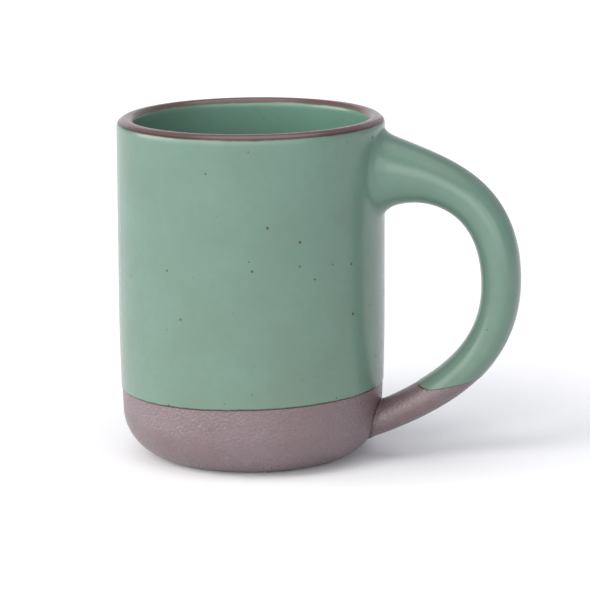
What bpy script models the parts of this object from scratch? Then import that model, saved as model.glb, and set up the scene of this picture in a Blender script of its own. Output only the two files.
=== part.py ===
"""Stoneware mug: a thrown cup and a pulled handle, joined with slip and dipped in glaze.

Metres, +Z up. The origin is the centre of the base, and the handle points along +X.
"""
import math

import bmesh
import bpy
from mathutils import Matrix, Vector
from mathutils.geometry import interpolate_bezier

# Cup
OUTER_DIAMETER = 0.081
HEIGHT = 0.104
WALL = 0.0042
FLOOR = 0.0065
BASE_CORNER = 0.0139        # outer rounding between the base and the wall
INNER_CORNER = 0.0100       # inner rounding between the floor and the wall
RIM_OUTER_ROUND = 0.0027    # the rest of the wall's thickness rounds the lip's inner side
DRAW_IN = 0.0015            # how far the wall draws in at the base
DRAW_IN_HEIGHT = 0.048      # where that starts

# Glaze coats
GLAZE = 0.0005
RIM_BARE = 0.0014           # bare band of the lip, down from the top on both sides
DIP_HEIGHT = 0.0222         # glaze line above the base, on the cup's axis
DIP_TILT = math.radians(1.3)    # the glaze line rises towards the handle

# Handle, along the middle of its section
HANDLE_REACH = 0.0362       # from the wall to the outermost point
UPPER_ROOT_DROP = 0.0153    # below the rim, at the wall
LOWER_ROOT_RISE = 0.0122    # above the base, at the wall
UPPER_ROOT_ANGLE = math.radians(4.4)     # rises as it leaves the wall
LOWER_ROOT_ANGLE = math.radians(21.2)    # runs down into the wall
APEX_SHARE = 0.56           # height of the outermost point, between the roots
UPPER_PULLS = (0.35, 1.02)  # fullness of the upper bend, at the root and the outermost point
LOWER_PULLS = (0.52, 0.81)  # fullness of the lower bend, at the outermost point and the root

# Handle section
UPPER_THICKNESS = 0.0140
LOWER_THICKNESS = 0.0097
UPPER_WIDTH = 0.0160
LOWER_WIDTH = 0.0155
ROOT_FLARE = 0.0054         # added above and below the middle, at the upper root
ROOT_FLARE_WIDTH = 0.0030   # added to each side there
FLARE_LENGTH = 0.045        # along the handle, from the wall
FLARE_POWER = 4.0
SECTION_POWER = 2.3         # 2 is an ellipse, and more is squarer

# Slip joints
SLIP = 0.0009               # how far the slip stands out from the cup
SLIP_BEAD = 0.0004          # slip squeezed out round the bare lower root

CLEARANCE = 0.0003          # between neighbours
SEAT = GLAZE + CLEARANCE    # depth of the bed that a coat lies in
OVERRUN = 0.003             # how far a cutter runs past what it cuts

# Mesh density
TURN_STEPS = 48
CORNER_STEPS = 6
SPINE_STEPS = 20            # for each of the handle's two bends
SECTION_STEPS = 16

# Finishes: name, colour, roughness
CLAY = ("stoneware_clay", (0.155, 0.105, 0.102), 0.62)
SLIP_CLAY = ("slip_clay", (0.120, 0.082, 0.080), 0.70)
OUTSIDE_GLAZE = ("sage_glaze", (0.235, 0.345, 0.300), 0.22)
INSIDE_GLAZE = ("liner_glaze", (0.200, 0.310, 0.260), 0.20)


def clear_scene():
    for item in list(bpy.data.objects):
        bpy.data.objects.remove(item, do_unlink=True)


# ---------------------------------------------------------------- objects

def material(name, colour, roughness):
    made = bpy.data.materials.get(name) or bpy.data.materials.new(name)
    made.use_nodes = True
    shader = made.node_tree.nodes["Principled BSDF"]
    shader.inputs["Base Color"].default_value = (*colour, 1.0)
    shader.inputs["Roughness"].default_value = roughness
    shader.inputs["Metallic"].default_value = 0.0
    return made


def add_object(name, mesh, finish):
    """Object with its finish, or a cutter where there is none."""
    item = bpy.data.objects.new(name, mesh)
    bpy.context.collection.objects.link(item)
    if finish:
        mesh.materials.append(material(*finish))
    else:
        item.hide_render = True
        item.display_type = "WIRE"
    return item


def combine(item, operation, other):
    step = item.modifiers.new(other.name, "BOOLEAN")
    step.operation = operation
    step.solver = "EXACT"
    step.object = other


# ---------------------------------------------------------------- the cup's outline

def draw_in(height):
    return DRAW_IN * max(0.0, 1.0 - height / DRAW_IN_HEIGHT) ** 2


def inset(radius, rise):
    """How far a quarter round lies inside its corner, at a rise above its foot."""
    left = max(0.0, radius - max(0.0, rise))
    return max(0.0, radius) - math.sqrt(max(0.0, radius ** 2 - left ** 2))


def levels(low, high, foot, corner, top, lip):
    """Heights between low and high at which a wall with these two rounds needs a point."""
    turns = [1 - math.cos(math.pi / 2 * step / CORNER_STEPS) for step in range(CORNER_STEPS + 1)]
    wanted = [foot + corner * turn for turn in turns]
    wanted += [top - lip * turn for turn in turns]
    wanted += [BASE_CORNER + (DRAW_IN_HEIGHT - BASE_CORNER) * share for share in (0.3, 0.6, 1.0)]
    kept = [low]
    for height in sorted(wanted):
        if kept[-1] + CLEARANCE / 2 < height < high - CLEARANCE / 2:
            kept.append(height)
    return kept + [high]


def outer_side(grow, low, high):
    """(radius, height) points up the cup's outer surface, moved out of the clay by grow."""
    corner = BASE_CORNER + grow
    lip = RIM_OUTER_ROUND + grow
    top = HEIGHT + grow
    points = []
    for height in levels(low, high, -grow, corner, top, lip):
        radius = OUTER_DIAMETER / 2 + grow - draw_in(height)
        radius -= inset(corner, height + grow) + inset(lip, top - height)
        points.append((radius, height))
    return points


def inner_side(grow, low, high):
    """(radius, height) points up the cup's inner surface, moved out of the clay by grow."""
    foot = FLOOR + grow
    corner = INNER_CORNER - grow
    lip = WALL - RIM_OUTER_ROUND + grow
    top = HEIGHT + grow
    points = []
    for height in levels(low, high, foot, corner, top, lip):
        radius = OUTER_DIAMETER / 2 - WALL - grow - draw_in(height)
        radius += inset(lip, top - height) - inset(corner, height - foot)
        points.append((radius, height))
    return points


def turned(name, outline, finish=None):
    """Solid turned round Z. Its outline runs down the outer side, and closes if it is off the axis."""
    mesh = bpy.data.meshes.new(name)
    edges = [(index, index + 1) for index in range(len(outline) - 1)]
    if outline[0][0] > 0.0:
        edges.append((len(outline) - 1, 0))
    mesh.from_pydata([(radius, 0.0, height) for radius, height in outline], edges, [])
    item = add_object(name, mesh, finish)
    screw = item.modifiers.new("Turn", "SCREW")
    screw.steps = TURN_STEPS
    screw.render_steps = TURN_STEPS
    screw.use_merge_vertices = True
    screw.merge_threshold = 0.00001
    screw.use_smooth_shade = True
    return item


def plug(name, grow):
    """Solid with the cup's outer shape, grown by a distance."""
    side = outer_side(grow, -grow, HEIGHT + grow)
    return turned(name, [(0.0, HEIGHT + grow)] + side[::-1] + [(0.0, -grow)])


def band(name, inner_grow, outer_grow, widen, finish=None):
    """Layer along the cup's outer side, from the bare lip to the glaze line, widened at both ends."""
    top = HEIGHT - RIM_BARE + widen
    low = DIP_HEIGHT - OUTER_DIAMETER * math.tan(DIP_TILT) - OVERRUN
    outside = outer_side(outer_grow, low, top)
    inside = outer_side(inner_grow, low, top)
    item = turned(name, outside[::-1] + inside, finish)
    combine(item, "DIFFERENCE", below_dip(name + "_dip", widen))
    return item


def below_dip(name, drop):
    """Solid filling everything below the tilted glaze line, lowered by drop."""
    size = 2 * (OUTER_DIAMETER + HANDLE_REACH)
    box = bmesh.new()
    bmesh.ops.create_cube(box, size=size, matrix=Matrix.Translation((0.0, 0.0, -size / 2)))
    mesh = bpy.data.meshes.new(name)
    box.to_mesh(mesh)
    box.free()
    item = add_object(name, mesh, None)
    item.location.z = DIP_HEIGHT - drop
    item.rotation_euler.y = -DIP_TILT
    return item


# ---------------------------------------------------------------- the handle's sweep

def handle_spine():
    """Points along the middle of the handle, from inside the upper wall to inside the lower one."""
    wall = OUTER_DIAMETER / 2
    up = Vector((0.0, 0.0, 1.0))
    leave = Vector((math.cos(UPPER_ROOT_ANGLE), 0.0, math.sin(UPPER_ROOT_ANGLE)))
    arrive = Vector((math.cos(LOWER_ROOT_ANGLE), 0.0, math.sin(LOWER_ROOT_ANGLE)))
    upper_root = Vector((wall, 0.0, HEIGHT - UPPER_ROOT_DROP))
    lower_root = Vector((wall, 0.0, LOWER_ROOT_RISE))
    apex = lower_root.lerp(upper_root, APEX_SHARE)
    apex.x = wall + HANDLE_REACH
    first = upper_root - buried_length() * leave
    last = lower_root - buried_length() * arrive
    upper_bend = interpolate_bezier(
        first,
        first + UPPER_PULLS[0] * HANDLE_REACH * leave,
        apex + UPPER_PULLS[1] * (upper_root.z - apex.z) * up,
        apex, SPINE_STEPS)
    lower_bend = interpolate_bezier(
        apex,
        apex - LOWER_PULLS[0] * (apex.z - lower_root.z) * up,
        last + LOWER_PULLS[1] * HANDLE_REACH * arrive,
        last, SPINE_STEPS)
    return upper_bend + lower_bend[1:]


def buried_length():
    """How far the handle's sweep starts inside the cup's wall, where the cup is cut from it."""
    return 2 * WALL


def spine_lengths(spine):
    lengths = [0.0]
    for point, following in zip(spine, spine[1:]):
        lengths.append(lengths[-1] + (following - point).length)
    return lengths


def section_size(length, total):
    """Half the handle's thickness and half its width, at a length along its spine."""
    share = length / total
    thickness = UPPER_THICKNESS + share * (LOWER_THICKNESS - UPPER_THICKNESS)
    width = UPPER_WIDTH + share * (LOWER_WIDTH - UPPER_WIDTH)
    from_wall = max(0.0, length - buried_length())
    flare = max(0.0, 1.0 - from_wall / FLARE_LENGTH) ** FLARE_POWER
    return thickness / 2 + flare * ROOT_FLARE, width / 2 + flare * ROOT_FLARE_WIDTH


def squared(value):
    """A sine or a cosine, pushed outwards so that the oval section gets fuller shoulders."""
    return math.copysign(abs(value) ** (2 / SECTION_POWER), value)


def section_ring(solid, centre, along, half_thickness, half_width):
    """Vertices round the handle's section, square to its spine."""
    outward = Vector((-along.z, 0.0, along.x))
    ring = []
    for step in range(SECTION_STEPS):
        angle = 2 * math.pi * step / SECTION_STEPS
        across = squared(math.cos(angle)) * half_thickness
        sideways = squared(math.sin(angle)) * half_width
        ring.append(solid.verts.new(centre + across * outward + Vector((0.0, sideways, 0.0))))
    return ring


def sweep(name, grow, finish=None, start=0.0, end=1.0):
    """The handle's section swept along its spine between two shares of its length."""
    spine = handle_spine()
    lengths = spine_lengths(spine)
    solid = bmesh.new()
    rings = []
    for index, centre in enumerate(spine):
        if not start <= lengths[index] / lengths[-1] <= end:
            continue
        along = spine[min(index + 1, len(spine) - 1)] - spine[max(index - 1, 0)]
        half_thickness, half_width = section_size(lengths[index], lengths[-1])
        rings.append(section_ring(solid, centre, along.normalized(),
                                  half_thickness + grow, half_width + grow))
    for ring, following in zip(rings, rings[1:]):
        for step in range(SECTION_STEPS):
            beside = (step + 1) % SECTION_STEPS
            solid.faces.new((ring[step], ring[beside], following[beside], following[step]))
    solid.faces.new(rings[0])
    solid.faces.new(rings[-1])
    bmesh.ops.recalc_face_normals(solid, faces=solid.faces)
    mesh = bpy.data.meshes.new(name)
    solid.to_mesh(mesh)
    solid.free()
    mesh.shade_smooth()
    mesh.set_sharp_from_angle(angle=math.radians(40))
    return add_object(name, mesh, finish)


# ---------------------------------------------------------------- sub-parts

def cup_body():
    """Thrown cup with a bare lip and foot, and a shallow bed for each coat."""
    bed_floor = FLOOR - SEAT
    bed_top = HEIGHT - RIM_BARE + CLEARANCE
    inside = inner_side(-SEAT, bed_floor, bed_top) + inner_side(0.0, bed_top, HEIGHT)[:-1]
    outside = outer_side(0.0, 0.0, HEIGHT)[::-1]
    body = turned("cup_body", [(0.0, bed_floor)] + inside + outside + [(0.0, 0.0)], CLAY)
    combine(body, "DIFFERENCE", band("coat_bed", -SEAT, OVERRUN, CLEARANCE))


def outer_glaze():
    """Coat over the cup's outside, open where the handle is rooted."""
    coat = band("outer_glaze", -GLAZE, 0.0, 0.0, OUTSIDE_GLAZE)
    combine(coat, "DIFFERENCE", sweep("root_hole", -GLAZE, end=0.4))


def liner_glaze():
    """Coat over the floor and the inner wall."""
    top = HEIGHT - RIM_BARE
    shown = inner_side(0.0, FLOOR, top)
    hidden = inner_side(-GLAZE, FLOOR - GLAZE, top)
    outline = [(0.0, FLOOR)] + shown + hidden[::-1] + [(0.0, FLOOR - GLAZE)]
    turned("liner_glaze", outline, INSIDE_GLAZE)


def handle():
    """Pulled handle: full size where it is bare, and thinner by its bed where it is coated."""
    bare_end = sweep("bare_end", 0.0, start=0.4)
    combine(bare_end, "INTERSECT", below_dip("bare_end_dip", CLEARANCE))
    body = sweep("handle", -SEAT, CLAY)
    combine(body, "UNION", bare_end)
    combine(body, "DIFFERENCE", plug("handle_seat", SLIP + CLEARANCE))


def handle_glaze():
    """Coat round the handle, from the cup's coat down to the glaze line."""
    coat = sweep("handle_glaze", 0.0, OUTSIDE_GLAZE)
    combine(coat, "DIFFERENCE", sweep("handle_core", -GLAZE))
    combine(coat, "DIFFERENCE", plug("coat_seat", CLEARANCE))
    combine(coat, "DIFFERENCE", below_dip("handle_glaze_dip", 0.0))


def slip_joint(name, grow, inner_grow, start, end):
    """Slip between the cup's clay and one end of the handle."""
    joint = sweep(name, grow, SLIP_CLAY, start, end)
    combine(joint, "INTERSECT", plug(name + "_outside", SLIP))
    combine(joint, "DIFFERENCE", plug(name + "_inside", inner_grow))


clear_scene()
cup_body()
outer_glaze()
liner_glaze()
handle()
handle_glaze()
slip_joint("upper_slip_joint", -SEAT, -GLAZE, 0.0, 0.3)
slip_joint("lower_slip_joint", SLIP_BEAD, CLEARANCE, 0.7, 1.0)
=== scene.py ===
"""Looks of a stoneware mug: toasted bare clay at the foot and lip, and a sage glaze with iron specks."""
import math

import bpy
import numpy as np
from mathutils import Matrix, Vector


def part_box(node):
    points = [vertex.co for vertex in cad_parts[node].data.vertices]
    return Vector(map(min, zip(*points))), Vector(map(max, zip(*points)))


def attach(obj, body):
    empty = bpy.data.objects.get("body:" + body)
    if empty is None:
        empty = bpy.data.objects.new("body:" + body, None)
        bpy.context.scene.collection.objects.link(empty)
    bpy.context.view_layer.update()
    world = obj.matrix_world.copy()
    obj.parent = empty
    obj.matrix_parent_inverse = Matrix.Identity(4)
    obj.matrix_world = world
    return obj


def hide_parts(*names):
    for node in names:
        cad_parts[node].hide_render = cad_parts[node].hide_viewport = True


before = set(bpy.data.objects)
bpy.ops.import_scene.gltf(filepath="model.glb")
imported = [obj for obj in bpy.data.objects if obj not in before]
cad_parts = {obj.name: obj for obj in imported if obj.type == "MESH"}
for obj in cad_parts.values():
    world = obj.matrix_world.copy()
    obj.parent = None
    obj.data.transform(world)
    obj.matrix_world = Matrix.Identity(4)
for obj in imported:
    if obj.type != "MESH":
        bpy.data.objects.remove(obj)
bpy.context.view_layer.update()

# ---------------------------------------------------------------- sizes, in metres

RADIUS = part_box("outer_glaze")[1].x         # of the CAD cup, over its glaze
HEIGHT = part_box("cup_body")[1].z
COAT = 0.00017                              # how far a coat stands on the clay
COAT_BACK = 0.00045                         # thickness of a coat, with what bites into the clay
CLAY_RADIUS = RADIUS - 0.00010

WALL = 0.0050
FLOOR = 0.0065
BASE_CORNER = 0.0139
INNER_CORNER = 0.0100
LIP_OUTSIDE = 0.0027                        # round of the lip's outer side
LIP_INSIDE = 0.0026                         # how far down the lip's inner side runs
LIP_SLANT = (WALL - LIP_OUTSIDE) / LIP_INSIDE
DRAW_IN = 0.0015                            # how far the wall draws in at the base
DRAW_IN_HEIGHT = 0.048

BARE_LIP_OUTSIDE = 0.00095                  # bare clay from the top down to each coat
BARE_LIP_INSIDE = 0.0008
RIM_RISE = 0.00026                          # the rim stands a little high, and higher at the handle
RIM_SLOPE = 0.0058
RIM_POWER = 7                               # this keeps the rise to the rim's own neighbourhood
LEAN = 0.0030                               # the wall leans a little towards the handle
DIP_HEIGHT = 0.02175
DIP_SLOPE = math.tan(math.radians(1.3))     # the dip line rises towards the handle
HANDLE_DIP_SLOPE = 0.186                    # and more steeply across the handle
HANDLE_DIP_MIDDLE = 0.0584                  # where the two lines are level, from the cup's axis
HANDLE_DIP_DRAW = 0.0024                    # and it stays higher on the side towards the cup
EDGE_ROUND = 0.0005                         # a coat reaches full depth this far in from its edge
DIP_WANDER = 0.00010                        # how far each edge strays from its line
LIP_WANDER = 0.00007
HANDLE_DIP_WANDER = 0.00012

HANDLE_REACH = 0.0362                       # from the wall to the handle's outermost point
UPPER_ROOT = HEIGHT - 0.0153                # heights of the roots at the wall
LOWER_ROOT = 0.0122
UPPER_ROOT_ANGLE = math.radians(4.4)
LOWER_ROOT_ANGLE = math.radians(21.2)
APEX_SHARE = 0.56                           # height of the outermost point, between the roots
UPPER_PULLS = (0.35, 1.02)                  # fullness of each bend at its two ends
LOWER_PULLS = (0.52, 0.81)
UPPER_THICKNESS = 0.0140
LOWER_THICKNESS = 0.0097
UPPER_WIDTH = 0.0160
LOWER_WIDTH = 0.0155
ROOT_FLARE = 0.0054
ROOT_FLARE_WIDTH = 0.0030
ROOT_SHY = 0.0008                           # the flare spreads less upwards than downwards
FLARE_LENGTH = 0.045
FLARE_POWER = 4.0
SECTION_POWER = 2.1                         # 2 is an ellipse, and more is squarer
BURIED = 0.0084                             # how far the sweep starts and ends inside the wall

# how far the round between wall and handle runs on each: its mean, what it runs further below the
# root and less above it, and what it runs further beside it
ROUND_ON_WALL = (0.0021, 0.0008, 0.0013)
ROUND_ON_HANDLE = (0.0043, 0.0006, 0.0020)
ROUND_PULL = 0.62                           # how near the round comes to the bare corner

SLIP_DEPTH = 0.0009
SLIP_BEAD = 0.00035
SLIP_WANDER = 0.00005

# ---------------------------------------------------------------- mesh density

COLUMNS = 256                               # round the cup
HANDLE_COLUMNS = 96                         # round the bare handle
WALL_ROWS = 84
HANDLE_ROWS = 110
ROUND_ROWS = 10
RING_ROWS = 5
SLIP_ROWS = 13
SPINE_STEPS = 300                           # for each of the handle's two bends
SEARCH_STEP = 0.0002                        # along the handle, for where it crosses a surface
UPPER_SEARCH = 0.040
LOWER_SEARCH = 0.030
EDGE_STEPS = np.array([0.0, 0.03, 0.08, 0.15, 0.25, 0.40, 0.60, 0.90, 1.30]) * 0.001
ROOT_COLUMNS = 18                           # half the columns in the field round the upper root
ROOT_TOP_STEP = 5                           # the edge step that the field starts at
ROOT_FIELD_FOOT = 0.0715                    # the height that it ends at

# ---------------------------------------------------------------- the cup's outline


def inset(radius, rise):
    """How far a quarter round lies inside its corner, at a rise above its foot."""
    left = np.maximum(0.0, radius - np.maximum(0.0, rise))
    return radius - np.sqrt(np.maximum(0.0, radius ** 2 - left ** 2))


def draw_in(height):
    return DRAW_IN * np.maximum(0.0, 1.0 - height / DRAW_IN_HEIGHT) ** 2


def outside(height, grow=0.0):
    """Radius of the cup's outer clay surface, moved out of the clay by grow."""
    rim = inset(LIP_OUTSIDE + grow, HEIGHT + grow - height)
    return CLAY_RADIUS + grow - draw_in(height) - inset(BASE_CORNER + grow, height + grow) - rim


def inside(height, grow=0.0):
    """Radius of the cup's inner clay surface, moved out of the clay by grow."""
    rim = LIP_SLANT * inset(LIP_INSIDE + grow, HEIGHT + grow - height)
    corner = inset(INNER_CORNER - grow, height - FLOOR - grow)
    return CLAY_RADIUS - WALL - grow - draw_in(height) - corner + rim


def wander(angle, seed):
    """A closed wave about one high, as the edge of a hand-dipped coat has."""
    sizes = {1: 0.30, 2: 0.35, 5: 0.30, 9: 0.22, 17: 0.18, 31: 0.12, 47: 0.08}
    total = np.zeros_like(angle)
    for waves, size in sizes.items():
        total += size * np.sin(waves * angle + seed * waves * 1.7)
    return total


def dip_line(angle):
    """Height of the coat's lower edge round the cup."""
    return DIP_HEIGHT + RADIUS * np.cos(angle) * DIP_SLOPE + DIP_WANDER * wander(angle, 1.0)


def lip_line(angle, bare):
    """Height of a coat's upper edge round the cup, which strays differently outside and inside."""
    return HEIGHT - bare + LIP_WANDER * wander(angle, 2.0 + 300.0 * bare)


def coat_depth(from_edge):
    """Height of a coat above the clay at a distance in from its edge, with a slight roll there."""
    share = np.clip(from_edge / EDGE_ROUND, 0.0, 1.0)
    roll = 1.0 + 0.15 * np.exp(-((from_edge / EDGE_ROUND - 1.6) / 0.9) ** 2)
    return COAT * np.sqrt(1.0 - (1.0 - share) ** 2) * roll


def quarter(count):
    """Shares of a quarter round's rise, evenly turned from its foot."""
    return 1.0 - np.cos(np.linspace(0.0, math.pi / 2, count))


def edge_to_edge(first, last, rows):
    """Levels from first up to last, with fine steps at both ends; each may be an array of columns."""
    edge = EDGE_STEPS[:, None]
    middle = np.linspace(0.0, 1.0, rows)[1:-1, None]
    low = first[None, :] + EDGE_STEPS[-1]
    high = last[None, :] - EDGE_STEPS[-1]
    levels = [first[None, :] + edge, low + middle * (high - low), last[None, :] - edge[::-1]]
    return np.concatenate(levels)


# ---------------------------------------------------------------- the handle's sweep

def bezier(first, pull_first, pull_last, last, count):
    """Points of a cubic curve between two points, or of many curves between two rows of points."""
    share = np.linspace(0.0, 1.0, count)
    rest = 1.0 - share
    weights = np.stack([rest ** 3, 3 * rest ** 2 * share, 3 * rest * share ** 2, share ** 3])
    return np.tensordot(weights, np.stack([first, pull_first, pull_last, last]), axes=(0, 0))


def make_spine():
    """Lengths, (x, z) points and directions along the middle of the handle, and the apex's length."""
    leave = np.array([math.cos(UPPER_ROOT_ANGLE), math.sin(UPPER_ROOT_ANGLE)])
    arrive = np.array([math.cos(LOWER_ROOT_ANGLE), math.sin(LOWER_ROOT_ANGLE)])
    upper_root = np.array([RADIUS, UPPER_ROOT])
    lower_root = np.array([RADIUS, LOWER_ROOT])
    apex = lower_root + APEX_SHARE * (upper_root - lower_root) + np.array([HANDLE_REACH, 0.0])
    rise = np.array([0.0, upper_root[1] - apex[1]])
    fall = np.array([0.0, apex[1] - lower_root[1]])
    first = upper_root - BURIED * leave
    last = lower_root - BURIED * arrive
    pull_out = first + UPPER_PULLS[0] * HANDLE_REACH * leave
    pull_back = last + LOWER_PULLS[1] * HANDLE_REACH * arrive
    upper = bezier(first, pull_out, apex + UPPER_PULLS[1] * rise, apex, SPINE_STEPS)
    lower = bezier(apex, apex - LOWER_PULLS[0] * fall, pull_back, last, SPINE_STEPS)
    points = np.concatenate([upper, lower[1:]])
    lengths = np.concatenate([[0.0], np.cumsum(np.hypot(*np.diff(points, axis=0).T))])
    along = np.gradient(points, lengths, axis=0)
    along /= np.hypot(*along.T)[:, None]
    return lengths, points, along, lengths[len(upper) - 1]


SPINE_LENGTHS, SPINE_POINTS, SPINE_ALONG, APEX_LENGTH = make_spine()
SPINE_END = SPINE_LENGTHS[-1]


def squared(value):
    """A sine or a cosine, pushed outwards so that the oval section gets fuller shoulders."""
    return np.sign(value) * np.abs(value) ** (2 / SECTION_POWER)


def on_handle(angle, length, grow):
    """Points of the handle's clay surface moved out by grow.

    The angle runs round the handle from its upper side, and the length along its middle.
    """
    share = length / SPINE_END
    flare = np.maximum(0.0, 1.0 - np.maximum(0.0, length - BURIED) / FLARE_LENGTH) ** FLARE_POWER
    thickness = UPPER_THICKNESS + share * (LOWER_THICKNESS - UPPER_THICKNESS)
    width = UPPER_WIDTH + share * (LOWER_WIDTH - UPPER_WIDTH)
    spread = ROOT_FLARE - ROOT_SHY * np.maximum(0.0, np.cos(angle))
    across = squared(np.cos(angle)) * (thickness / 2 + flare * spread - COAT + grow)
    sideways = squared(np.sin(angle)) * (width / 2 + flare * ROOT_FLARE_WIDTH - COAT + grow)
    x = np.interp(length, SPINE_LENGTHS, SPINE_POINTS[:, 0])
    z = np.interp(length, SPINE_LENGTHS, SPINE_POINTS[:, 1])
    along_x = np.interp(length, SPINE_LENGTHS, SPINE_ALONG[:, 0])
    along_z = np.interp(length, SPINE_LENGTHS, SPINE_ALONG[:, 1])
    return np.stack([x - along_z * across, sideways + 0.0 * x, z + along_x * across], axis=-1)


def crossing(angles, lengths, test, grow):
    """For each angle, the first of the lengths at which test(points) isn't negative."""
    over = test(on_handle(angles[None, :], lengths[:, None], grow))
    found = np.maximum(np.argmax(over >= 0.0, axis=0), 1)
    columns = np.arange(len(angles))
    before, after = over[found - 1, columns], over[found, columns]
    share = np.clip(-before / (after - before), 0.0, 1.0)
    return lengths[found - 1] + share * (lengths[found] - lengths[found - 1])


def outside_cup(level):
    """Test for points outside the cup's clay surface grown by level."""
    return lambda points: np.hypot(points[..., 0], points[..., 1]) - outside(points[..., 2], level)


def upper_crossing(angles, level, grow):
    """Lengths at which the handle leaves the cup at its upper root."""
    return crossing(angles, np.arange(0.0, UPPER_SEARCH, SEARCH_STEP), outside_cup(level), grow)


def lower_crossing(angles, level, grow):
    """Lengths at which the handle enters the cup at its lower root."""
    lengths = SPINE_END - np.arange(0.0, LOWER_SEARCH, SEARCH_STEP)
    return crossing(angles, lengths, outside_cup(level), grow)


def handle_dip(angles):
    """Lengths at which the handle's coat ends."""
    def under(points):
        lift = HANDLE_DIP_SLOPE * (points[..., 0] - HANDLE_DIP_MIDDLE)
        lift = lift + HANDLE_DIP_WANDER * wander(angles, 3.0)
        lift = lift + HANDLE_DIP_DRAW * np.maximum(0.0, -np.cos(angles)) ** 2
        return DIP_HEIGHT + points[..., 0] * DIP_SLOPE + lift - points[..., 2]

    return crossing(angles, np.arange(APEX_LENGTH, SPINE_END - BURIED, SEARCH_STEP), under, COAT)


# ---------------------------------------------------------------- meshes

def settled(points):
    """Points with the slight lean and the uneven rim of a mug thrown by hand."""
    x, y, z = np.asarray(points, dtype=float).T
    near = np.clip(x, -RADIUS, RADIUS)
    rise = (RIM_RISE + RIM_SLOPE * near) * (z / HEIGHT) ** RIM_POWER
    return np.stack([x + LEAN * z * (z / HEIGHT - 0.5), y, z + rise], axis=1)


def make_piece(name, vertices, faces, material, nodes, edge=None):
    """Piece that rides on the mug, from faces and the points they use.

    edge is each point's distance in from its coat's nearest edge, for the glaze's colour.
    """
    used = np.unique(np.concatenate([np.ravel(face) for face in faces]))
    place = np.full(len(vertices), -1)
    place[used] = np.arange(len(used))
    kept_faces = [[int(place[corner]) for corner in face] for face in faces]
    mesh = bpy.data.meshes.new(name)
    mesh.from_pydata(settled(vertices[used]).tolist(), [], kept_faces)
    if edge is not None:
        layer = mesh.attributes.new("edge", "FLOAT", "POINT")
        layer.data.foreach_set("value", np.asarray(edge, dtype=np.float32)[used])
    mesh.materials.append(material)
    mesh.shade_smooth()
    piece = bpy.data.objects.new(name, mesh)
    bpy.context.collection.objects.link(piece)
    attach(piece, "root")
    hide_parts(*nodes)
    return piece


def thicken(piece):
    """Gives a coat its back, which bites into the clay."""
    solid = piece.modifiers.new("Back", "SOLIDIFY")
    solid.thickness = COAT_BACK
    solid.offset = -1.0


def between(rows):
    """Faces between neighbouring rows of point numbers, where each row closes on itself."""
    faces = []
    for row, following in zip(rows, rows[1:]):
        beside, beyond = np.roll(row, -1), np.roll(following, -1)
        faces += np.stack([row, beside, beyond, following], axis=1).tolist()
    return faces


def fan(row, middle):
    """Faces from a closed row of point numbers to a middle point."""
    return np.stack([row, np.roll(row, -1), np.full(len(row), middle)], axis=1).tolist()


def turned_grid(radii, heights):
    """Points of a profile turned round Z, in rows, where radii and heights may vary by column."""
    angles = np.arange(COLUMNS) * 2 * math.pi / COLUMNS
    radii = np.broadcast_to(radii.reshape(len(radii), -1), (len(radii), COLUMNS))
    heights = np.broadcast_to(heights.reshape(len(heights), -1), (len(heights), COLUMNS))
    return np.stack([radii * np.cos(angles), radii * np.sin(angles), heights], axis=-1)


def numbered(grid, start=0):
    """Rows of point numbers for a grid of points."""
    return start + np.arange(grid.shape[0] * grid.shape[1]).reshape(grid.shape[:2])


def clay_cup(material):
    """The whole cup in clay: flat base, rounded foot, wall, lip, inner wall and floor."""
    outer_levels = np.concatenate([
        BASE_CORNER * quarter(20),
        np.linspace(BASE_CORNER, HEIGHT - LIP_OUTSIDE, 70)[1:],
        (HEIGHT - LIP_OUTSIDE * quarter(14))[::-1][1:]])
    inner_levels = np.concatenate([
        HEIGHT - LIP_INSIDE * quarter(10)[1:],
        np.linspace(HEIGHT - LIP_INSIDE, FLOOR + INNER_CORNER, 60)[1:],
        (FLOOR + INNER_CORNER * quarter(16))[::-1][1:]])
    base = np.linspace(0.0, outside(np.array(0.0)), 12)[1:-1]
    floor = np.linspace(inside(np.array(FLOOR)), 0.0, 10)[1:-1]
    radii = np.concatenate([base, outside(outer_levels), inside(inner_levels), floor])
    heights = np.concatenate([0.0 * base, outer_levels, inner_levels, 0.0 * floor + FLOOR])
    grid = turned_grid(radii, heights)
    rows = numbered(grid)
    vertices = np.concatenate([grid.reshape(-1, 3), [(0.0, 0.0, 0.0), (0.0, 0.0, FLOOR)]])
    faces = between(rows) + fan(rows[0][::-1], rows.size) + fan(rows[-1], rows.size + 1)
    return make_piece("clay_cup", vertices, faces, material, ["cup_body"])


def liner_coat(material):
    """Glaze over the inner wall and the floor."""
    angles = np.arange(COLUMNS) * 2 * math.pi / COLUMNS
    top = lip_line(angles, BARE_LIP_INSIDE)
    corner_top = FLOOR + INNER_CORNER + COAT
    wall = edge_to_edge(np.full(COLUMNS, corner_top), top, WALL_ROWS)[::-1]
    depth = coat_depth(top - wall)
    corner = (FLOOR + COAT + (INNER_CORNER - COAT) * quarter(16))[::-1][1:, None]
    corner = np.broadcast_to(corner, (len(corner), COLUMNS))
    heights = np.concatenate([wall, corner])
    radii = np.concatenate([inside(wall, 0.0) - depth, inside(corner, COAT)])
    floor = np.linspace(radii[-1], 0.0 * radii[-1], 10)[1:-1]
    radii = np.concatenate([radii, floor])
    heights = np.concatenate([heights, 0.0 * floor + FLOOR + COAT])
    grid = turned_grid(radii, heights)
    rows = numbered(grid)
    vertices = np.concatenate([grid.reshape(-1, 3), [(0.0, 0.0, FLOOR + COAT)]])
    edge = np.append((top - heights).ravel(), RADIUS)
    faces = between(rows) + fan(rows[-1], rows.size)
    piece = make_piece("liner_coat", vertices, faces, material, ["liner_glaze"], edge)
    thicken(piece)
    return piece


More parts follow.
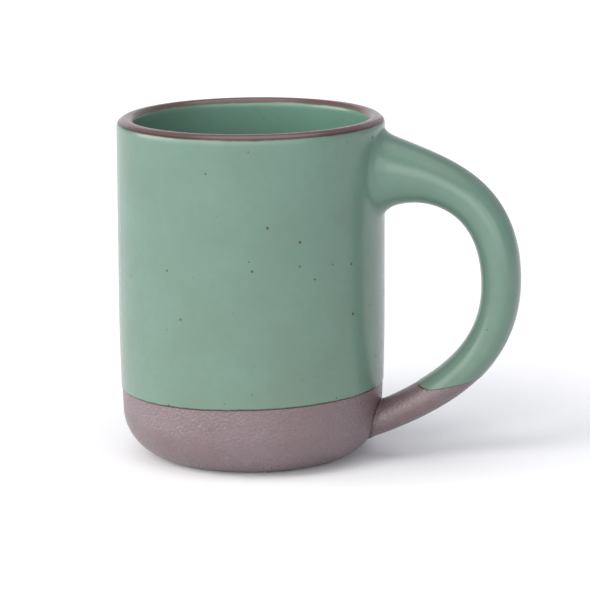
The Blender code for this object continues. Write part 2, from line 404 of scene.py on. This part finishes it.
def field_loop(grid_rows, top_row, foot_row):
    """Point numbers round the field of the upper root, from its top middle towards +Y, down and back."""
    right = np.arange(0, ROOT_COLUMNS + 1)
    left = np.arange(-ROOT_COLUMNS, 0)
    down = np.arange(top_row - 1, foot_row, -1)
    return np.concatenate([
        grid_rows[top_row, right], grid_rows[down, ROOT_COLUMNS],
        grid_rows[foot_row, right[::-1]], grid_rows[foot_row, left[::-1]],
        grid_rows[down[::-1], -ROOT_COLUMNS], grid_rows[top_row, left]])


def around_root(sizes, turn):
    """How far the round runs at a turn about the upper root, from its top."""
    middle, below, beside = sizes
    return middle - below * np.cos(turn) + beside * np.sin(turn) ** 2


def outer_coat(material):
    """One coat over the cup's wall and the handle, with a rounded corner where they join."""
    angles = np.arange(COLUMNS) * 2 * math.pi / COLUMNS
    low, high = dip_line(angles), lip_line(angles, BARE_LIP_OUTSIDE)
    levels = edge_to_edge(low, high, WALL_ROWS)
    from_edge = np.minimum(levels - low, high - levels)
    wall = turned_grid(outside(levels, 0.0) + coat_depth(from_edge), levels)
    wall_rows = numbered(wall)
    top_row = len(levels) - 1 - ROOT_TOP_STEP
    foot_row = int(np.argmin(np.abs(levels[:, 0] - ROOT_FIELD_FOOT)))
    loop = field_loop(wall_rows, top_row, foot_row)
    wall_faces = []
    for row in range(len(levels) - 1):
        for column in range(COLUMNS):
            centred = (column + COLUMNS // 2) % COLUMNS - COLUMNS // 2
            if foot_row <= row < top_row and -ROOT_COLUMNS <= centred < ROOT_COLUMNS:
                continue
            beside = (column + 1) % COLUMNS
            wall_faces.append([wall_rows[row, column], wall_rows[row, beside],
                               wall_rows[row + 1, beside], wall_rows[row + 1, column]])

    # the corner, where handle and wall would meet, and the round's ends: a toe on the wall and a
    # heel on the handle
    points = wall.reshape(-1, 3)[loop]
    side = np.arctan2(points[:, 1], points[:, 0])
    turn = np.arctan2(points[:, 1] / (UPPER_WIDTH / 2 + ROOT_FLARE_WIDTH),
                      (points[:, 2] - UPPER_ROOT) / (UPPER_THICKNESS / 2 + ROOT_FLARE))
    wall_run = around_root(ROUND_ON_WALL, turn)
    met = upper_crossing(turn, COAT, COAT)
    corner = on_handle(turn, met, COAT)
    toe = on_handle(turn, upper_crossing(turn, COAT, COAT + wall_run), COAT + wall_run)
    start = met + around_root(ROUND_ON_HANDLE, turn)
    heel = on_handle(turn, start, COAT)

    rings = []
    toe_side = np.arctan2(toe[:, 1], toe[:, 0])
    for share in np.linspace(0.0, 1.0, RING_ROWS + 1)[1:]:
        height = points[:, 2] + share * (toe[:, 2] - points[:, 2])
        at = side + share * (toe_side - side)
        radius = outside(height, 0.0) + coat_depth(lip_line(at, BARE_LIP_OUTSIDE) - height)
        rings.append(np.stack([radius * np.cos(at), radius * np.sin(at), height], axis=1))
    toe = rings[-1]
    pull_toe = toe + ROUND_PULL * (corner - toe)
    pull_heel = heel + ROUND_PULL * (corner - heel)
    rings += list(bezier(toe, pull_toe, pull_heel, heel, ROUND_ROWS + 1)[1:])
    end = handle_dip(turn)
    reach = end - start
    to_end = EDGE_STEPS[::-1]
    for share in np.linspace(0.0, 1.0, HANDLE_ROWS)[1:-1]:
        rings.append(on_handle(turn, start + share * (reach - to_end[0]), COAT))
    for gap in to_end:
        rings.append(on_handle(turn, end - gap, coat_depth(np.full(len(turn), gap))))

    grid = np.array(rings)
    rows = [loop] + list(numbered(grid, wall_rows.size))
    vertices = np.concatenate([wall.reshape(-1, 3), grid.reshape(-1, 3)])
    ring_edge = np.full(grid.shape[:2], RADIUS)
    ring_edge[-len(to_end):] = to_end[:, None]
    ring_edge[:RING_ROWS] = lip_line(side, BARE_LIP_OUTSIDE)[None, :] - grid[:RING_ROWS, :, 2]
    edge = np.concatenate([from_edge.ravel(), ring_edge.ravel()])
    faces = wall_faces + between([row[::-1] for row in rows])
    nodes = ["outer_glaze", "handle_glaze"]
    piece = make_piece("outer_coat", vertices, faces, material, nodes, edge)
    thicken(piece)
    return piece


def clay_handle(material):
    """The whole handle in clay, from slip joint to slip joint."""
    angles = np.arange(HANDLE_COLUMNS) * 2 * math.pi / HANDLE_COLUMNS
    seat = SLIP_DEPTH / 2
    first = upper_crossing(angles, seat, 0.0)
    last = lower_crossing(angles, seat, 0.0)
    shares = np.linspace(0.0, 1.0, 150)
    grid = np.array([on_handle(angles, first + share * (last - first), 0.0) for share in shares])
    rows = numbered(grid)
    ends = [seat_middle(UPPER_ROOT, seat), seat_middle(LOWER_ROOT, seat)]
    vertices = np.concatenate([grid.reshape(-1, 3), ends])
    faces = between(rows) + fan(rows[0][::-1], rows.size) + fan(rows[-1], rows.size + 1)
    faces = [face[::-1] for face in faces]
    return make_piece("clay_handle", vertices, faces, material, ["handle"])


def seat_middle(height, level):
    """Point on the cup's wall, grown by level, behind the middle of a root."""
    return (float(outside(np.array(height), level)), 0.0, height)


def slip_pad(name, material, node, cross, height, bead):
    """Slip between the cup and one end of the handle, with its rounded bead.

    The bead stands out of the joint, or where bead is negative the slip draws in, under a coat.
    """
    angles = np.arange(HANDLE_COLUMNS) * 2 * math.pi / HANDLE_COLUMNS
    rings = []
    for share in np.linspace(-1.0, 1.0, SLIP_ROWS):
        level = SLIP_DEPTH * (0.4 + 0.6 * share)
        swell = bead * (math.sqrt(max(0.0, 1.0 - share ** 2)) - 0.5) + SLIP_WANDER * wander(angles, 4.0)
        rings.append(on_handle(angles, cross(angles, level, swell), swell))
    grid = np.array(rings)
    rows = numbered(grid)
    ends = [seat_middle(height, -0.2 * SLIP_DEPTH), seat_middle(height, SLIP_DEPTH)]
    vertices = np.concatenate([grid.reshape(-1, 3), ends])
    faces = between(rows) + fan(rows[0][::-1], rows.size) + fan(rows[-1], rows.size + 1)
    if height > HEIGHT / 2:
        faces = [face[::-1] for face in faces]
    return make_piece(name, vertices, faces, material, [node])


# ---------------------------------------------------------------- materials

IRON = (0.050, 0.030, 0.022)                # specks in the glaze
PALE_GROG = (0.36, 0.29, 0.27)              # and in the clay
DARK_GROG = (0.035, 0.022, 0.020)


def node_tree(name):
    """New material, its node tree and its shader."""
    material = bpy.data.materials.new(name)
    material.use_nodes = True
    tree = material.node_tree
    return material, tree, tree.nodes["Principled BSDF"]


def add_node(tree, kind, values=None, **settings):
    """Node with its settings, and its inputs set to values or linked to outputs."""
    node = tree.nodes.new(kind)
    for key, value in settings.items():
        setattr(node, key, value)
    for key, value in (values or {}).items():
        if isinstance(value, bpy.types.NodeSocket):
            tree.links.new(value, node.inputs[key])
        else:
            node.inputs[key].default_value = value
    return node


def noise(tree, position, size, detail=3.0, roughness=0.5):
    """Noise from 0 to 1 whose patches are about size metres across."""
    values = {"Vector": position, "Scale": 1.0 / size, "Detail": detail, "Roughness": roughness}
    return add_node(tree, "ShaderNodeTexNoise", values).outputs["Fac"]


def ramp(tree, value, low, high, to_low=0.0, to_high=1.0):
    """Value carried from the range low to high into the range to_low to to_high, and kept inside it."""
    values = {"Value": value, "From Min": low, "From Max": high, "To Min": to_low, "To Max": to_high}
    return add_node(tree, "ShaderNodeMapRange", values, clamp=True).outputs["Result"]


def mix(tree, share, first, second, blend="MIX"):
    """Blend of two colours, each a link or a tuple, by a share."""
    node = add_node(tree, "ShaderNodeMix", data_type="RGBA", blend_type=blend)
    for socket, value in ((node.inputs[0], share), (node.inputs[6], first), (node.inputs[7], second)):
        if isinstance(value, bpy.types.NodeSocket):
            tree.links.new(value, socket)
        elif isinstance(value, tuple):
            socket.default_value = (*value, 1.0)
        else:
            socket.default_value = value
    return node.outputs[2]


def math_node(tree, operation, first, second=0.0):
    return add_node(tree, "ShaderNodeMath", {0: first, 1: second}, operation=operation).outputs[0]


def specks(tree, position, spacing, rarity, largest):
    """Dots of differing size, in a share of the cells of a jittered lattice: 1 inside a dot."""
    cells = add_node(tree, "ShaderNodeTexVoronoi", {"Vector": position, "Scale": 1.0 / spacing})
    pick = add_node(tree, "ShaderNodeSeparateColor", {"Color": cells.outputs["Color"]}).outputs["Red"]
    size = ramp(tree, pick, 1.0 - rarity, 1.0, 0.0, largest / spacing)
    inner = math_node(tree, "MULTIPLY", size, 0.5)
    inside_dot = add_node(tree, "ShaderNodeMapRange", {
        "Value": cells.outputs["Distance"], "From Min": size, "From Max": inner}, clamp=True)
    chosen = math_node(tree, "GREATER_THAN", pick, 1.0 - rarity)
    return math_node(tree, "MULTIPLY", inside_dot.outputs["Result"], chosen)


def tint(colour, *parts):
    """The colour with each channel scaled by its own part."""
    return tuple(channel * part for channel, part in zip(colour, parts))


def glaze(name, colour, thin_colour):
    """Satin glaze: cloudy, warmer low down, brown where it thins at an edge, with iron specks."""
    material, tree, shader = node_tree(name)
    position = add_node(tree, "ShaderNodeTexCoord").outputs["Object"]
    height = add_node(tree, "ShaderNodeSeparateXYZ", {"Vector": position}).outputs["Z"]
    cloud = noise(tree, position, 0.020, 3.0, 0.55)
    mottle = noise(tree, position, 0.0024, 4.0, 0.6)
    pooled = tint(colour, 0.97, 0.93, 0.92)
    pale = tint(colour, 1.03, 1.06, 1.07)
    body = mix(tree, ramp(tree, cloud, 0.3, 0.7), pooled, pale)
    warm = ramp(tree, height, 0.020, 0.075, 0.8, 0.0)
    body = mix(tree, warm, body, (1.08, 0.99, 0.96), "MULTIPLY")
    mottled = ramp(tree, mottle, 0.35, 0.75, 0.0, 0.25)
    body = mix(tree, mottled, body, tint(colour, 0.86, 0.80, 0.80))
    edge = add_node(tree, "ShaderNodeAttribute", attribute_name="edge").outputs["Fac"]
    uneven = math_node(tree, "MULTIPLY", noise(tree, position, 0.003, 2.0), 0.0004)
    thin = ramp(tree, math_node(tree, "SUBTRACT", edge, uneven), 0.00016, 0.00050, 1.0, 0.0)
    body = mix(tree, thin, body, thin_colour)
    dots = specks(tree, position, 0.0044, 0.50, 0.00060)
    fine = specks(tree, position, 0.0030, 0.16, 0.00032)
    iron = math_node(tree, "MAXIMUM", dots, math_node(tree, "MULTIPLY", fine, 0.6))
    body = mix(tree, iron, body, IRON)
    tree.links.new(body, shader.inputs["Base Color"])
    tree.links.new(ramp(tree, mottle, 0.3, 0.7, 0.22, 0.27), shader.inputs["Roughness"])
    shader.inputs["IOR"].default_value = 1.43
    ripple = noise(tree, position, 0.007, 2.0, 0.5)
    grain = noise(tree, position, 0.0006, 2.0, 0.5)
    relief = math_node(tree, "ADD", ripple, math_node(tree, "MULTIPLY", grain, 0.08))
    relief = math_node(tree, "SUBTRACT", relief, math_node(tree, "MULTIPLY", dots, 0.25))
    bump = add_node(tree, "ShaderNodeBump", {"Height": relief, "Strength": 0.35, "Distance": 0.00012})
    tree.links.new(bump.outputs["Normal"], shader.inputs["Normal"])
    return material


def clay(name, colour):
    """Toasted stoneware: cloudy, grainy, darker and redder at the lip, with dark and pale specks."""
    material, tree, shader = node_tree(name)
    position = add_node(tree, "ShaderNodeTexCoord").outputs["Object"]
    cloud = noise(tree, position, 0.013, 4.0, 0.6)
    grain = noise(tree, position, 0.0008, 4.0, 0.6)
    brown = tint(colour, 0.90, 0.80, 0.77)
    lilac = tint(colour, 1.08, 1.14, 1.20)
    body = mix(tree, ramp(tree, cloud, 0.3, 0.7), brown, lilac)
    grainy = ramp(tree, grain, 0.35, 0.75, 0.0, 0.4)
    body = mix(tree, grainy, body, tint(colour, 0.66, 0.60, 0.58))
    height = add_node(tree, "ShaderNodeSeparateXYZ", {"Vector": position}).outputs["Z"]
    toasted = ramp(tree, height, HEIGHT - 0.010, HEIGHT - 0.004)
    body = mix(tree, toasted, body, tint(colour, 0.62, 0.44, 0.42))
    shader.inputs["Specular IOR Level"].default_value = 0.8
    pale = specks(tree, position, 0.0028, 0.20, 0.00036)
    dark = specks(tree, position, 0.0046, 0.30, 0.00070)
    body = mix(tree, math_node(tree, "MULTIPLY", pale, 0.5), body, PALE_GROG)
    body = mix(tree, math_node(tree, "MULTIPLY", dark, 0.75), body, DARK_GROG)
    tree.links.new(body, shader.inputs["Base Color"])
    polish = math_node(tree, "MULTIPLY", toasted, 0.10)
    roughness = math_node(tree, "SUBTRACT", ramp(tree, grain, 0.3, 0.7, 0.24, 0.38), polish)
    tree.links.new(roughness, shader.inputs["Roughness"])
    relief = math_node(tree, "MULTIPLY", grain, ramp(tree, toasted, 0.0, 1.0, 1.0, 0.12))
    bump = add_node(tree, "ShaderNodeBump", {"Height": relief, "Strength": 0.9, "Distance": 0.00036})
    tree.links.new(bump.outputs["Normal"], shader.inputs["Normal"])
    return material


# ---------------------------------------------------------------- studio

FLOOR_HALF = 6.0
FLOOR_DROP = 0.0001                         # keeps the floor clear of the mug's base
CAMERA_AZIMUTH = 12.0                       # degrees from the front towards the handle
CAMERA_PAN = 11.25
CAMERA_TILT = 11.71
CAMERA_ROLL = -0.38
CAMERA_DISTANCE = 1.0071                    # from the mug's axis
CAMERA_HEIGHT = 0.2574                      # above the floor
CAMERA_LENS = 205.4

# azimuth, elevation and width in degrees, and strength
SOFTBOXES = [
    (-33.0, 45.0, 26.0, 0.95),
    (60.0, 84.0, 60.0, 1.00),
    (-80.0, 12.0, 45.0, 2.45),
    (-40.0, 12.0, 45.0, 1.50),
    (0.0, 12.0, 45.0, 1.45),
    (40.0, 12.0, 45.0, 1.05),
    (160.0, 12.0, 45.0, 0.12),
    (-160.0, 12.0, 45.0, 0.28),
]


def floor():
    """Plain pale floor, wide enough to fill the frame."""
    material, tree, shader = node_tree("studio_floor")
    shader.inputs["Base Color"].default_value = (0.84, 0.845, 0.865, 1.0)
    shader.inputs["Roughness"].default_value = 0.9
    shader.inputs["Specular IOR Level"].default_value = 0.1
    mesh = bpy.data.meshes.new("studio_floor")
    signs = [(-1, -1), (1, -1), (1, 1), (-1, 1)]
    corners = [(FLOOR_HALF * x, FLOOR_HALF * y, 0.0) for x, y in signs]
    mesh.from_pydata(corners, [], [(0, 1, 2, 3)])
    mesh.materials.append(material)
    item = bpy.data.objects.new("studio_floor", mesh)
    item.location.z = -FLOOR_DROP
    bpy.context.collection.objects.link(item)


def camera():
    """Camera at the photograph's viewing angle."""
    azimuth = math.radians(CAMERA_AZIMUTH)
    pan = math.radians(CAMERA_PAN)
    tilt = math.radians(CAMERA_TILT)
    roll = math.radians(CAMERA_ROLL)
    forward = Vector((-math.sin(pan) * math.cos(tilt), math.cos(pan) * math.cos(tilt), -math.sin(tilt)))
    level = Vector((math.cos(pan), math.sin(pan), 0.0))
    above = level.cross(forward)
    right = level * math.cos(roll) + above * math.sin(roll)
    up = above * math.cos(roll) - level * math.sin(roll)
    data = bpy.data.cameras.new("camera")
    data.lens = CAMERA_LENS
    data.sensor_width = 36.0
    data.clip_start = 0.05
    item = bpy.data.objects.new("camera", data)
    turn = Matrix((right, up, -forward)).transposed().to_4x4()
    across = CAMERA_DISTANCE * math.sin(azimuth)
    place = Vector((across, -CAMERA_DISTANCE * math.cos(azimuth), CAMERA_HEIGHT))
    item.matrix_world = Matrix.Translation(place) @ turn
    bpy.context.collection.objects.link(item)
    bpy.context.scene.camera = item


def softbox(azimuth, elevation, across, strength):
    """Round softbox, across degrees wide, that lights the mug and the floor from one direction."""
    data = bpy.data.lights.new("softbox", "SUN")
    data.angle = math.radians(across)
    data.energy = strength
    data.color = (1.03, 1.01, 0.965)
    item = bpy.data.objects.new("softbox", data)
    around = math.radians(azimuth)
    above = math.radians(elevation)
    level = math.cos(above)
    towards = Vector((math.sin(around) * level, -math.cos(around) * level, math.sin(above)))
    item.rotation_mode = "QUATERNION"
    item.rotation_quaternion = (-towards).to_track_quat("-Z", "Y")
    bpy.context.collection.objects.link(item)


def studio():
    """Cool surroundings, and the softboxes."""
    world = bpy.data.worlds.new("studio")
    bpy.context.scene.world = world
    world.use_nodes = True
    background = world.node_tree.nodes["Background"]
    background.inputs["Color"].default_value = (0.90, 0.93, 1.09, 1.0)
    background.inputs["Strength"].default_value = 0.36
    for azimuth, elevation, across, strength in SOFTBOXES:
        softbox(azimuth, elevation, across, strength)
    bpy.context.scene.view_settings.view_transform = "Standard"


# ---------------------------------------------------------------- the mug

STONEWARE = clay("stoneware", (0.130, 0.091, 0.100))
SLIP = clay("slip", (0.085, 0.056, 0.056))
SAGE = glaze("sage_glaze_surface", (0.103, 0.174, 0.140), (0.045, 0.028, 0.020))
LINER = glaze("liner_glaze_surface", (0.093, 0.184, 0.141), (0.080, 0.060, 0.040))

clay_cup(STONEWARE)
clay_handle(STONEWARE)
slip_pad("upper_slip", SLIP, "upper_slip_joint", upper_crossing, UPPER_ROOT, -SLIP_BEAD)
slip_pad("lower_slip", SLIP, "lower_slip_joint", lower_crossing, LOWER_ROOT, SLIP_BEAD)
outer_coat(SAGE)
liner_coat(LINER)
floor()
camera()
studio()
